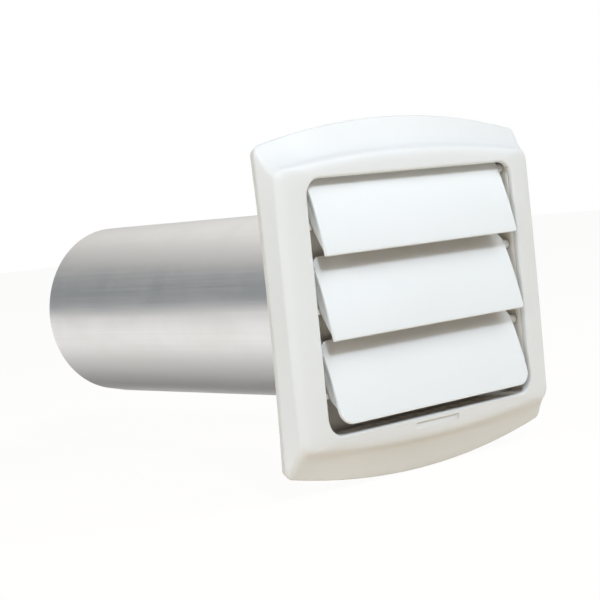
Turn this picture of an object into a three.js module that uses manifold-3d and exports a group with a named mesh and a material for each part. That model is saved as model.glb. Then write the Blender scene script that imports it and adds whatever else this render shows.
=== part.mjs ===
// Louvred wall exhaust hood with a four-inch aluminium tail pipe.
// Units are millimetres, +Z is up and the front of the hood faces -Y.
// The origin is on the duct axis, in the plane of the wall behind the base plate.
import * as THREE from "three";
import { mergeVertices } from "three/addons/utils/BufferGeometryUtils.js";
import Module from "manifold-3d";

const wasm = await Module();
wasm.setup();

// ---------------------------------------------------------------- driving dimensions
const FIT = 0.3; // clearance between pieces that touch or slide

// duct
const PIPE_OD = 101.6;
const PIPE_WALL = 0.5;
const PIPE_LENGTH = 254; // how far the pipe reaches behind the wall plane
const SEAM_RISE = 1.6; // how far the rolled sheet peaks at its lock seam
const COLLAR_WALL = 2.4;
const COLLAR_LENGTH = 25;
const COLLAR_FOOT = 2.4; // shoulder round the collar that the pipe's end meets
const FOOT_SPARE = 0.6; // how far the shoulder stands out past the seam
const RIVET_SET_BACK = 12; // rivet line behind the wall plane
const RIVET_SHANK = 3.2;
const RIVET_HEAD = 6.4;
const RIVET_HEAD_THICK = 1;
const RIVET_ANGLES = [90, 210, 330];

// hood
const HOOD_LIFT = 4; // the hood's middle above the duct axis
const OPENING_WIDTH = 150;
const OPENING_HEIGHT = 125;
const OPENING_CORNER = 9;
const SIDE_BORDER = 16.8; // front face beside the opening
const END_BORDER = 6; // front face above and below the opening, at the corners
const SIDE_BEVEL = 3.2; // how far the bevel runs out sideways
const END_BEVEL = 11.5; // how far the bevel runs out above and below
const RIM_ARCH = 11.2; // extra height at the middle of the top and bottom edges
const RIM_WAIST = 1.6; // how far the rear edge draws in at the middle of each side
const RIM_CORNER = 4;
const FACE_ARCH = 6.6;
const FACE_CORNER = 5;
const BEVEL_DEPTH = 13; // face edge in front of the wall plane
const FRONT_DEPTH = 17.6; // opening edge in front of the wall plane
const COVER_WALL = 2.2;
const LIP_DEPTH = 3; // return lip round the opening
const LEAD_IN = 1.2; // rounding of the opening's front edge
const LABEL_WIDTH = 32; // blank recess under the opening
const LABEL_HEIGHT = 3.2;
const LABEL_DROP = 2.6;
const LABEL_SINK = 0.5;

// base plate
const PLATE_EDGE = 3; // thickness of the plate's visible edge
const PLATE_FLOOR = 2; // thickness behind the louvres
const PLATE_INSET = 1.4; // plate edge inside the cover's rear edge
const RIB_WALL = 1.8;
const RIB_HEIGHT = 4;
const RIB_GAP = 1; // between the upstand and the cover that clips over it
const SNAP_OFFSET = 45; // snap tabs left and right of the middle
const SNAP_WIDTH = 11;
const SNAP_THICK = 1.6;
const WALL_SCREW_HOLE = 4.6;
const WALL_SCREW_INSET = 7.8; // in from the edge of the front face
const WALL_SCREW_Z = 22;

// louvre carrier
const CARRIER_WALL = 2;
const CARRIER_BACK = 3.6; // rear edge in front of the wall plane
const HEAD_CLEARANCE = 0.8; // above the top louvre's tail
const HEAD_DEPTH = 8; // the head bar stops this far in front of the wall plane
const EAR_REACH = 10;
const EAR_HEIGHT = 11;
const EAR_THICK = 1.8;
const EAR_SET_BACK = 1.2; // front of the screw ears behind the edge of the front face
const EAR_FROM_END = 18.5; // ears in from the opening's upper and lower edges
const SCREW_SHANK = 2.9;
const SCREW_HEAD = 5.6;
const SCREW_HEAD_THICK = 1.8;
const SCREW_GRIP = 3.4; // thread length held by the cover's boss
const BOSS_DIAMETER = 6.6;

// louvres
const LOUVRE_NAMES = ["top_louvre", "middle_louvre", "bottom_louvre"];
const END_SPARE = 1.4; // opening height that the three pitches leave over
const LOUVRE_SIDE_GAP = 5; // between a louvre's end and the carrier wall
const SLAT_THICK = 1.8;
const SLAT_TAIL = 6.5; // slat above the pivot
const SLAT_LEAN = 16.5; // degrees that the closed slat leans out
const SLAT_BULGE = 1; // crown of the slat's front
const SLAT_TOP_CORNER = 6;
const SLAT_CORNER = 8; // lower corners of the bottom louvre
const PIVOT_DEPTH = 9; // pivot line in front of the wall plane
const PIVOT_DROP = 3.2; // top pivot below the opening's upper edge
const PIVOT_TO_FRONT = 2.4; // pivot line behind the slat's front surface
const PIN_RADIUS = 2;
const SHOULDER_RADIUS = 2.6;
const CHEEK_WALL = 1.8;
const CHEEK_INSET = 0.5; // cheek in from the slat's end
const CHEEK_BACK_TOP = 3.2; // cheek edge behind the pivot line at the top
const CHEEK_BACK_LOW = 1.8;
const SLAT_OVERLAP = -0.1; // lower edge past the top of the next louvre
const STOP_SIZE = 3;
const STOP_ALONG = 20; // stop position down the slat from the pivot

// ---------------------------------------------------------------- materials
function plastic(color) {
  return new THREE.MeshStandardMaterial({ color, roughness: 0.42, metalness: 0 });
}
function metal(color, roughness) {
  return new THREE.MeshStandardMaterial({ color, roughness, metalness: 1 });
}
const coverWhite = plastic(0xf1f4f3);
const louvreWhite = plastic(0xf4f6f6);
const carrierWhite = plastic(0xe6e6e0);
const plateWhite = plastic(0xeceeeb);
const aluminium = metal(0xc4c4c4, 0.38);
const rivetMetal = metal(0xb8babc, 0.3);
const screwSteel = metal(0x9a9ca0, 0.3);

// ---------------------------------------------------------------- solids
function solid(geometry) {
  const plain = geometry.index ? geometry.toNonIndexed() : geometry.clone();
  plain.deleteAttribute("normal");
  plain.deleteAttribute("uv");
  const merged = mergeVertices(plain, 1e-4);
  return new wasm.Manifold(
    new wasm.Mesh({
      numProp: 3,
      vertProperties: merged.attributes.position.array,
      triVerts: new Uint32Array(merged.index.array),
    }),
  );
}
function geometryOf(manifold) {
  const mesh = manifold.getMesh();
  const geometry = new THREE.BufferGeometry();
  geometry.setAttribute("position", new THREE.BufferAttribute(mesh.vertProperties, 3));
  geometry.setIndex(new THREE.BufferAttribute(mesh.triVerts, 1));
  geometry.computeVertexNormals();
  return geometry;
}
const group = new THREE.Group();
function addPiece(name, body, material, place = [0, 0, 0]) {
  const mesh = new THREE.Mesh(geometryOf(body), material);
  mesh.name = name;
  mesh.position.set(...place);
  group.add(mesh);
}
function join(bodies) {
  return bodies.reduce((all, body) => all.add(body));
}
function cut(body, tools) {
  return tools.reduce((left, tool) => left.subtract(tool), body);
}

function shapeOf(points) {
  return new THREE.Shape(points.map(([x, y]) => new THREE.Vector2(x, y)));
}
// A shape drawn in X and Z, made solid between two depths in front of the wall.
function slab(points, backDepth, frontDepth) {
  const depth = frontDepth - backDepth;
  const geometry = new THREE.ExtrudeGeometry(shapeOf(points), { depth, bevelEnabled: false });
  geometry.rotateX(Math.PI / 2);
  geometry.translate(0, -backDepth, 0);
  return solid(geometry);
}
// A shape drawn in Y and Z, made solid between two X positions.
const alongX = new THREE.Matrix4().makeBasis(
  new THREE.Vector3(0, 1, 0),
  new THREE.Vector3(0, 0, 1),
  new THREE.Vector3(1, 0, 0),
);
function bar(points, fromX, toX) {
  const depth = toX - fromX;
  const geometry = new THREE.ExtrudeGeometry(shapeOf(points), { depth, bevelEnabled: false });
  geometry.applyMatrix4(alongX);
  geometry.translate(fromX, 0, 0);
  return solid(geometry);
}
function block(low, high) {
  const size = high.map((value, i) => value - low[i]);
  const geometry = new THREE.BoxGeometry(...size);
  geometry.translate(...low.map((value, i) => value + size[i] / 2));
  return solid(geometry);
}
// A turned body on an axis through the origin, along +Y, from [radius, y] points.
function turned(profile, segments = 24) {
  const points = profile.map(([radius, along]) => new THREE.Vector2(radius, along));
  return solid(new THREE.LatheGeometry(points, segments));
}
function rod(radius, fromY, toY, segments = 24) {
  return turned([[0, fromY], [radius, fromY], [radius, toY], [0, toY]], segments);
}

// ---------------------------------------------------------------- hood outlines
const TOP_STEPS = 14;
const SIDE_STEPS = 10;
const CORNER_STEPS = 5;

// A rounded rectangle whose top and bottom arch out and whose sides draw in.
// Every outline has the same number of points, in the same order.
function outline({ width, height, arch = 0, waist = 0, corner }) {
  const w = width / 2;
  const h = height / 2;
  const points = [];
  const corners = [[1, 1, 0], [-1, 1, 90], [-1, -1, 180], [1, -1, 270]];
  corners.forEach(([sx, sz, start], i) => {
    const cx = sx * (w - corner);
    const cz = sz * (h - corner);
    for (let k = 0; k <= CORNER_STEPS; k++) {
      const a = THREE.MathUtils.degToRad(start + (90 * k) / CORNER_STEPS);
      points.push([cx + corner * Math.cos(a), cz + corner * Math.sin(a)]);
    }
    const [nx, nz, next] = corners[(i + 1) % 4];
    const b = THREE.MathUtils.degToRad(next);
    const last = points[points.length - 1];
    const end = [
      nx * (w - corner) + corner * Math.cos(b),
      nz * (h - corner) + corner * Math.sin(b),
    ];
    const steps = i % 2 ? SIDE_STEPS : TOP_STEPS;
    for (let k = 1; k < steps; k++) {
      const t = k / steps;
      points.push([last[0] + (end[0] - last[0]) * t, last[1] + (end[1] - last[1]) * t]);
    }
  });
  return points.map(([x, z]) => [
    x - Math.sign(x) * waist * (1 - (z / h) ** 2) * Math.abs(x / w),
    z + Math.sign(z) * arch * (1 - (x / w) ** 2) * Math.abs(z / h),
  ]);
}
function grown(size, by, corner = Math.max(size.corner + by, 0.8)) {
  return { ...size, width: size.width + 2 * by, height: size.height + 2 * by, corner };
}
function between(a, b, t) {
  const mix = (key) => (a[key] || 0) + ((b[key] || 0) - (a[key] || 0)) * t;
  return {
    width: mix("width"),
    height: mix("height"),
    arch: mix("arch"),
    waist: mix("waist"),
    corner: mix("corner"),
  };
}

// A closed ring-shaped shell: each step is an outline at a depth, and the last joins the first.
function ringShell(steps) {
  const rings = steps.map(([size, depth]) => outline(size).map(([x, z]) => [x, -depth, z]));
  const count = rings[0].length;
  const position = rings.flat(2);
  const index = [];
  rings.forEach((_, k) => {
    const here = k * count;
    const next = ((k + 1) % rings.length) * count;
    for (let i = 0; i < count; i++) {
      const j = (i + 1) % count;
      index.push(here + i, here + j, next + i, here + j, next + j, next + i);
    }
  });
  const geometry = new THREE.BufferGeometry();
  geometry.setAttribute("position", new THREE.Float32BufferAttribute(position, 3));
  geometry.setIndex(index);
  return solid(geometry);
}

const FACE_WIDTH = OPENING_WIDTH + 2 * SIDE_BORDER;
const FACE_HEIGHT = OPENING_HEIGHT + 2 * END_BORDER;
const rim = {
  width: FACE_WIDTH + 2 * SIDE_BEVEL,
  height: FACE_HEIGHT + 2 * END_BEVEL,
  arch: RIM_ARCH,
  waist: RIM_WAIST,
  corner: RIM_CORNER,
};
const face = {
  width: FACE_WIDTH,
  height: FACE_HEIGHT,
  arch: FACE_ARCH,
  waist: -RIM_WAIST / 2,
  corner: FACE_CORNER,
};
const opening = { width: OPENING_WIDTH, height: OPENING_HEIGHT, corner: OPENING_CORNER };
const plateOutline = grown(rim, -PLATE_INSET);

// ---------------------------------------------------------------- cover frame
const COVER_BACK = PLATE_EDGE + FIT;
const RIM_LAND = 1.2; // straight part of the cover's rear edge
const FRONT_RISE = FRONT_DEPTH - BEVEL_DEPTH;
const underFace = FRONT_DEPTH - COVER_WALL;
const lipEnd = FRONT_DEPTH - LIP_DEPTH;
const innerFace = grown(face, -COVER_WALL);
const innerRim = grown(rim, -COVER_WALL);
const innerFaceDepth = BEVEL_DEPTH - COVER_WALL;
// The base plate's upstand follows the inside of the bevel at the upstand's own height.
const ribTop = PLATE_EDGE + RIB_HEIGHT;
const ribShare = (ribTop - COVER_BACK - RIM_LAND) / (innerFaceDepth - COVER_BACK - RIM_LAND);
const rib = grown(between(innerRim, innerFace, ribShare), -RIB_GAP);

function coverShell() {
  const wideOpening = grown(opening, LEAD_IN);
  const lipOuter = grown(opening, COVER_WALL);
  return ringShell([
    [rim, COVER_BACK],
    [rim, COVER_BACK + RIM_LAND],
    [between(rim, face, 0.5), (COVER_BACK + BEVEL_DEPTH) / 2],
    [between(rim, face, 0.9), BEVEL_DEPTH - 1],
    [face, BEVEL_DEPTH + FRONT_RISE * 0.12],
    [between(face, wideOpening, 0.08), BEVEL_DEPTH + FRONT_RISE * 0.42],
    [between(face, wideOpening, 0.22), BEVEL_DEPTH + FRONT_RISE * 0.68],
    [between(face, wideOpening, 0.5), BEVEL_DEPTH + FRONT_RISE * 0.87],
    [wideOpening, FRONT_DEPTH],
    [grown(opening, LEAD_IN * 0.3), FRONT_DEPTH - LEAD_IN * 0.3],
    [opening, FRONT_DEPTH - LEAD_IN],
    [opening, lipEnd],
    [lipOuter, lipEnd],
    [lipOuter, underFace],
    [between(innerFace, lipOuter, 0.35), underFace - FRONT_RISE * 0.2],
    [innerFace, innerFaceDepth],
    [innerRim, COVER_BACK + RIM_LAND],
    [innerRim, COVER_BACK],
  ]);
}
function archAt(size, x) {
  return size.height / 2 + size.arch * (1 - (x / (size.width / 2)) ** 2);
}
const SNAP_DEPTH = PLATE_EDGE + RIB_HEIGHT / 2;
function snapTabs() {
  return [-1, 1].flatMap((sx) =>
    [-1, 1].map((sz) => {
      const x = sx * SNAP_OFFSET;
      const inner = archAt(rib, x) - RIB_WALL - FIT;
      const outer = archAt(rim, x) - 2 * COVER_WALL;
      const low = Math.min(sz * inner, sz * outer);
      const high = Math.max(sz * inner, sz * outer);
      return block(
        [x - SNAP_WIDTH / 2, -SNAP_DEPTH - SNAP_THICK / 2, low],
        [x + SNAP_WIDTH / 2, -SNAP_DEPTH + SNAP_THICK / 2, high],
      );
    }),
  );
}
const EAR_X = OPENING_WIDTH / 2 + CARRIER_WALL + BOSS_DIAMETER / 2 + 2;
const EAR_Z = OPENING_HEIGHT / 2 - EAR_FROM_END;
const EAR_FRONT = BEVEL_DEPTH - EAR_SET_BACK;
const earPlaces = [-1, 1].flatMap((sx) => [-1, 1].map((sz) => [sx * EAR_X, sz * EAR_Z]));
function coverBosses() {
  return earPlaces.map(([x, z]) =>
    rod(BOSS_DIAMETER / 2, -underFace - COVER_WALL / 3, -EAR_FRONT - FIT).translate([x, 0, z]),
  );
}
function bossHoles() {
  const deepest = EAR_FRONT + FIT + SCREW_GRIP;
  return earPlaces.map(([x, z]) =>
    rod(SCREW_SHANK / 2 + FIT, -deepest, -EAR_FRONT + 1).translate([x, 0, z]),
  );
}
function labelRecess() {
  const top = -OPENING_HEIGHT / 2 - LABEL_DROP;
  return block(
    [-LABEL_WIDTH / 2, -FRONT_DEPTH - 1, top - LABEL_HEIGHT],
    [LABEL_WIDTH / 2, -FRONT_DEPTH + FRONT_RISE * 0.1 + LABEL_SINK, top],
  );
}
const lift = [0, 0, HOOD_LIFT];
const cover = cut(join([coverShell(), ...snapTabs(), ...coverBosses()]), [
  ...bossHoles(),
  labelRecess(),
]);
addPiece("cover_frame", cover, coverWhite, lift);

// ---------------------------------------------------------------- base plate
const COLLAR_RADIUS = PIPE_OD / 2 - PIPE_WALL - FIT;
const COLLAR_BORE = COLLAR_RADIUS - COLLAR_WALL;
const PIPE_SEGMENTS = 72;

function rivetHoles(radius) {
  return RIVET_ANGLES.map((angle) =>
    rod(radius, 0, PIPE_OD, 16)
      .rotate([90, 0, 0])
      .rotate([0, 90 - angle, 0])
      .translate([0, RIVET_SET_BACK, 0]),
  );
}
function basePlate() {
  const pocket = grown(rib, -RIB_WALL);
  const plate = slab(outline(plateOutline), 0, PLATE_EDGE);
  const upstand = slab(outline(rib), PLATE_EDGE - 1, ribTop);
  const inside = slab(outline(pocket), PLATE_FLOOR, ribTop + 1);
  const windows = [-1, 1].flatMap((sx) =>
    [-1, 1].map((sz) => {
      const z = sz * archAt(rib, SNAP_OFFSET);
      const half = SNAP_WIDTH / 2 + 2 * FIT;
      return block(
        [sx * SNAP_OFFSET - half, -SNAP_DEPTH - SNAP_THICK / 2 - FIT, z - 6],
        [sx * SNAP_OFFSET + half, -SNAP_DEPTH + SNAP_THICK / 2 + FIT, z + 6],
      );
    }),
  );
  const screwHoles = [-1, 1].flatMap((sx) =>
    [-1, 1].map((sz) =>
      rod(WALL_SCREW_HOLE / 2, -PLATE_EDGE - 1, 1).translate([
        sx * (FACE_WIDTH / 2 - WALL_SCREW_INSET),
        0,
        sz * WALL_SCREW_Z,
      ]),
    ),
  );
  const hood = cut(plate.add(upstand), [inside, ...windows, ...screwHoles]);
  const collar = rod(COLLAR_RADIUS, -PLATE_FLOOR / 2, COLLAR_LENGTH, PIPE_SEGMENTS);
  const footRadius = PIPE_OD / 2 + SEAM_RISE + FOOT_SPARE;
  const foot = rod(footRadius, -PLATE_FLOOR / 2, COLLAR_FOOT, PIPE_SEGMENTS);
  const bore = rod(COLLAR_BORE, -PLATE_EDGE - 1, COLLAR_LENGTH + 1, PIPE_SEGMENTS);
  return cut(join([hood.translate(lift), collar, foot]), [
    bore,
    ...rivetHoles(RIVET_SHANK / 2 + FIT),
  ]);
}
addPiece("base_plate", basePlate(), plateWhite);

// ---------------------------------------------------------------- tail pipe and rivets
// The rolled sheet runs straight into a low peak at its lock seam, which lies at the bottom.
function pipeSection(radius) {
  const peak = radius + SEAM_RISE;
  const half = Math.acos(radius / peak);
  const points = [];
  for (let k = 0; k <= PIPE_SEGMENTS; k++) {
    const a = -Math.PI / 2 + half + ((2 * Math.PI - 2 * half) * k) / PIPE_SEGMENTS;
    points.push([radius * Math.cos(a), radius * Math.sin(a)]);
  }
  return [[0, -peak], ...points];
}
function tailPipe() {
  const start = COLLAR_FOOT + FIT;
  const outer = slab(pipeSection(PIPE_OD / 2), -PIPE_LENGTH, -start);
  const inner = slab(pipeSection(PIPE_OD / 2 - PIPE_WALL), -PIPE_LENGTH - 1, -start + 1);
  return cut(outer, [inner, ...rivetHoles(RIVET_SHANK / 2 + FIT)]);
}
addPiece("tail_pipe", tailPipe(), aluminium);

function rivet() {
  const headFoot = PIPE_OD / 2 + FIT;
  const tailHead = COLLAR_BORE - FIT;
  const bulb = RIVET_HEAD * 0.36;
  return turned([
    [0, tailHead - 2.4],
    [bulb * 0.7, tailHead - 2.4],
    [bulb, tailHead - 1.6],
    [bulb, tailHead],
    [RIVET_SHANK / 2, tailHead],
    [RIVET_SHANK / 2, headFoot],
    [RIVET_HEAD / 2, headFoot],
    [RIVET_HEAD / 2 - 0.5, headFoot + RIVET_HEAD_THICK * 0.7],
    [RIVET_HEAD / 4, headFoot + RIVET_HEAD_THICK],
    [0, headFoot + RIVET_HEAD_THICK],
  ], 16);
}
RIVET_ANGLES.forEach((angle, i) => {
  const body = rivet().rotate([90, 0, 0]).rotate([0, 90 - angle, 0]);
  addPiece("collar_rivet_" + (i + 1), body, rivetMetal, [0, RIVET_SET_BACK, 0]);
});

// ---------------------------------------------------------------- louvres
const lean = THREE.MathUtils.degToRad(SLAT_LEAN);
// A point of the louvre's section: along runs down the slat, out runs towards the front.
function section(along, out, pivotZ) {
  return [
    -PIVOT_DEPTH - along * Math.sin(lean) - out * Math.cos(lean),
    pivotZ - along * Math.cos(lean) + out * Math.sin(lean),
  ];
}
const LOUVRE_PITCH = (OPENING_HEIGHT - END_SPARE) / LOUVRE_NAMES.length;
const SLAT_DROP = LOUVRE_PITCH / Math.cos(lean) - SLAT_TAIL + SLAT_OVERLAP;
const SLAT_MIDDLE = (SLAT_DROP - SLAT_TAIL) / 2;
const SLAT_HALF = (SLAT_DROP + SLAT_TAIL) / 2;
function slatFront(along) {
  return PIVOT_TO_FRONT + SLAT_BULGE * (1 - ((along - SLAT_MIDDLE) / SLAT_HALF) ** 2);
}
const SLAT_STEPS = 8;
const LOUVRE_WIDTH = OPENING_WIDTH - 2 * LOUVRE_SIDE_GAP;
function pivotHeight(row) {
  return OPENING_HEIGHT / 2 - PIVOT_DROP - row * LOUVRE_PITCH;
}
function slatPoints(pivotZ) {
  const front = [];
  const back = [];
  for (let k = 0; k <= SLAT_STEPS; k++) {
    const along = -SLAT_TAIL + ((SLAT_DROP + SLAT_TAIL) * k) / SLAT_STEPS;
    front.push(section(along, slatFront(along), pivotZ));
    back.push(section(along, slatFront(along) - SLAT_THICK, pivotZ));
  }
  return [...front, ...back.reverse()];
}
function cheekPoints(pivotZ) {
  const low = SLAT_DROP - 1.5;
  const into = SLAT_THICK / 2;
  const points = [];
  for (let k = 0; k <= SLAT_STEPS; k++) {
    const along = -SHOULDER_RADIUS + ((low + SHOULDER_RADIUS) * k) / SLAT_STEPS;
    points.push(section(along, slatFront(along) - into, pivotZ));
  }
  points.push(section(low, -CHEEK_BACK_LOW, pivotZ));
  points.push(section(SHOULDER_RADIUS, -CHEEK_BACK_TOP, pivotZ));
  points.push(section(-SHOULDER_RADIUS, -CHEEK_BACK_TOP, pivotZ));
  return points;
}
function pivotPins(pivotZ) {
  const inCheek = LOUVRE_WIDTH / 2 - CHEEK_INSET - CHEEK_WALL / 2;
  const wall = OPENING_WIDTH / 2;
  const pin = turned([
    [0, inCheek],
    [SHOULDER_RADIUS, inCheek],
    [SHOULDER_RADIUS, wall - FIT],
    [PIN_RADIUS, wall - FIT],
    [PIN_RADIUS, wall + CARRIER_WALL - FIT],
    [0, wall + CARRIER_WALL - FIT],
  ]);
  return [-90, 90].map((turn) => pin.rotate([0, 0, turn]).translate([0, -PIVOT_DEPTH, pivotZ]));
}
// Rounded lower corners, as a plan that the slat is trimmed to.
function louvreTrim(pivotZ, lowCorner) {
  const half = LOUVRE_WIDTH / 2;
  const low = section(SLAT_DROP, slatFront(SLAT_DROP), pivotZ)[1];
  const high = section(-SLAT_TAIL, slatFront(-SLAT_TAIL), pivotZ)[1];
  const corners = [
    [1, high, SLAT_TOP_CORNER, 0],
    [-1, high, SLAT_TOP_CORNER, 90],
    [-1, low, lowCorner, 180],
    [1, low, lowCorner, 270],
  ];
  const points = corners.flatMap(([sx, z, r, from]) => {
    const inside = z - r * Math.sign(z - pivotZ);
    if (!r) return [[sx * half, z - 1]];
    return Array.from({ length: CORNER_STEPS + 1 }, (_, k) => {
      const a = THREE.MathUtils.degToRad(from + (90 * k) / CORNER_STEPS);
      return [sx * (half - r) + r * Math.cos(a), inside + r * Math.sin(a)];
    });
  });
  return slab(points, 0, FRONT_DEPTH + SLAT_DROP);
}
function louvre(row, lowCorner) {
  const z = pivotHeight(row);
  const half = LOUVRE_WIDTH / 2;
  const slat = bar(slatPoints(z), -half, half);
  const cheekEnd = half - CHEEK_INSET;
  const cheeks = [-cheekEnd, cheekEnd - CHEEK_WALL].map((x) => bar(cheekPoints(z), x, x + CHEEK_WALL));
  const body = join([slat, ...cheeks]).intersect(louvreTrim(z, lowCorner));
  return join([body, ...pivotPins(z)]);
}
LOUVRE_NAMES.forEach((name, row) => {
  const lowest = row === LOUVRE_NAMES.length - 1;
  addPiece(name, louvre(row, lowest ? SLAT_CORNER : 0), louvreWhite, lift);
});

// ---------------------------------------------------------------- louvre carrier and screws
function carrierRing() {
  const low = -OPENING_HEIGHT / 2;
  const tailTop = section(-SLAT_TAIL, slatFront(-SLAT_TAIL), pivotHeight(0))[1];
  const high = tailTop + HEAD_CLEARANCE;
  const middle = (low + high) / 2;
  const hole = { width: OPENING_WIDTH, height: high - low, corner: OPENING_CORNER / 3 };
  const ring = cut(slab(outline(grown(hole, CARRIER_WALL)), CARRIER_BACK, lipEnd - FIT), [
    slab(outline(hole), CARRIER_BACK - 1, lipEnd + 1),
  ]).translate([0, 0, middle]);
  const aboveHead = block(
    [-rim.width, -lipEnd - 1, OPENING_HEIGHT / 2 + 1],
    [rim.width, -HEAD_DEPTH, rim.height],
  );
  return ring.subtract(aboveHead);
}
function carrierEars() {
  const wall = OPENING_WIDTH / 2 + CARRIER_WALL;
  return earPlaces.map(([x, z]) => {
    const near = Math.sign(x) * (wall - CARRIER_WALL / 2);
    const far = Math.sign(x) * (wall + EAR_REACH);
    return block(
      [Math.min(near, far), -EAR_FRONT, z - EAR_HEIGHT / 2],
      [Math.max(near, far), -EAR_FRONT + EAR_THICK, z + EAR_HEIGHT / 2],
    );
  });
}
function louvreStops() {
  const wall = OPENING_WIDTH / 2;
  const inner = LOUVRE_WIDTH / 2 - CHEEK_INSET - CHEEK_WALL + FIT;
  const reach = CHEEK_BACK_TOP - CHEEK_BACK_LOW;
  const share = (STOP_ALONG + STOP_SIZE / 2 - SHOULDER_RADIUS) / (SLAT_DROP - SHOULDER_RADIUS);
  const out = -(CHEEK_BACK_TOP - reach * share) - 2 * FIT;
  return LOUVRE_NAMES.flatMap((_, row) => {
    const z = pivotHeight(row);
    const points = [
      section(STOP_ALONG - STOP_SIZE / 2, out, z),
      section(STOP_ALONG + STOP_SIZE / 2, out, z),
      section(STOP_ALONG + STOP_SIZE / 2, out - STOP_SIZE, z),
      section(STOP_ALONG - STOP_SIZE / 2, out - STOP_SIZE, z),
    ];
    return [bar(points, -wall - 0.5, -inner), bar(points, inner, wall + 0.5)];
  });
}
function carrierHoles() {
  const screws = earPlaces.map(([x, z]) =>
    rod(SCREW_SHANK / 2 + FIT, -EAR_FRONT - 1, -EAR_FRONT + EAR_THICK + 1).translate([x, 0, z]),
  );
  const pins = LOUVRE_NAMES.map((_, row) =>
    rod(PIN_RADIUS + FIT, -OPENING_WIDTH, OPENING_WIDTH)
      .rotate([0, 0, 90])
      .translate([0, -PIVOT_DEPTH, pivotHeight(row)]),
  );
  return [...screws, ...pins];
}
const carrier = cut(join([carrierRing(), ...carrierEars(), ...louvreStops()]), carrierHoles());
addPiece("louvre_carrier", carrier, carrierWhite, lift);

function carrierScrew() {
  const headFoot = -EAR_FRONT + EAR_THICK + FIT;
  const tip = -EAR_FRONT - SCREW_GRIP;
  const shank = SCREW_SHANK / 2;
  const body = turned([
    [0, tip],
    [shank * 0.4, tip],
    [shank, tip + 1],
    [shank, headFoot],
    [SCREW_HEAD / 2, headFoot],
    [SCREW_HEAD / 2, headFoot + SCREW_HEAD_THICK * 0.4],
    [SCREW_HEAD * 0.3, headFoot + SCREW_HEAD_THICK],
    [0, headFoot + SCREW_HEAD_THICK],
  ]);
  const slots = [[1.9, 0.35], [0.35, 1.9]].map(([x, z]) =>
    block([-x, headFoot + SCREW_HEAD_THICK * 0.5, -z], [x, headFoot + 3, z]),
  );
  return cut(body, slots);
}
earPlaces.forEach(([x, z], i) => {
  addPiece("carrier_screw_" + (i + 1), carrierScrew(), screwSteel, [x, 0, z + HOOD_LIFT]);
});

export default group;
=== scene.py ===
# Looks of the louvred wall exhaust hood: moulded white plastic, rolled aluminium pipe.
# Lengths in the tables below are millimetres; meshes are in metres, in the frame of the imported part.
import math

import bmesh
import bpy
import numpy as np
from mathutils import Matrix, Vector, noise


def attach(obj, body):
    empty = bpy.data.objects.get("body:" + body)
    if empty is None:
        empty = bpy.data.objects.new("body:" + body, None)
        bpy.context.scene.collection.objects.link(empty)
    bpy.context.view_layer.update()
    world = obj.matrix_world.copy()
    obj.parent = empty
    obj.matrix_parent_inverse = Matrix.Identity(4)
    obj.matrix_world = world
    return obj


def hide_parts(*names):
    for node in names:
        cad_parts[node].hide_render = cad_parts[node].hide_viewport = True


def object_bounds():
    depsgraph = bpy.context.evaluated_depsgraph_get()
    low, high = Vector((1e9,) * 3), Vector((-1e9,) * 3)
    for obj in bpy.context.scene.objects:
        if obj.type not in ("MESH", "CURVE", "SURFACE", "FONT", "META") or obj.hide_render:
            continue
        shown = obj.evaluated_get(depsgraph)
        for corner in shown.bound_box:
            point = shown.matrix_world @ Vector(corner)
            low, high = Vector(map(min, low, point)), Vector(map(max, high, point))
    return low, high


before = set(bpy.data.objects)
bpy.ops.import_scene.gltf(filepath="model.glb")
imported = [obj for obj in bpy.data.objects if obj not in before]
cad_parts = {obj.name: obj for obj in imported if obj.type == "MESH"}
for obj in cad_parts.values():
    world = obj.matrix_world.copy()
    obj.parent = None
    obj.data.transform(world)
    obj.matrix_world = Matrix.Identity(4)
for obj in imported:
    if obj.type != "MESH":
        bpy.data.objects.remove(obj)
cad_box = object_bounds()

MM = 0.001
FIT = 0.3  # gap left between neighbouring pieces

# ---------------------------------------------------------------- sizes of the part
HOOD_LIFT = 4  # middle of the hood above the duct axis
OPENING = {"width": 150, "height": 125, "corner": 9}
RIM = {"width": 190, "height": 160, "arch": 11.2, "waist": 1.6, "corner": 4}
FACE = {"width": 183.6, "height": 137, "arch": 6.6, "waist": -0.8, "corner": 5}
COVER_BACK = 3.3
RIM_LAND = 1.2
BEVEL_DEPTH = 13
FRONT_DEPTH = 17.6
FRONT_RISE = FRONT_DEPTH - BEVEL_DEPTH
COVER_WALL = 2.2
LIP_DEPTH = 3
LEAD_IN = 1.2
LABEL = {"width": 32, "height": 3.2, "drop": 2.6, "sink": 0.5}
TAB_OFFSET, TAB_WIDTH, TAB_THICK, TAB_DEPTH = 45, 11, 1.6, 5
TAB_REACH, TAB_BITE = 7, 2.1  # depth where the tabs reach the rim's inside, and how far they stand in
BOSS_RADIUS, BOSS_HOLE, BOSS_FOOT, BOSS_BOTTOM, BOSS_TOP = 3.3, 1.75, 12.1, 15.4, 16
BOSS_X, BOSS_Z = 82.3, 44  # from the middle of the opening

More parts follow.
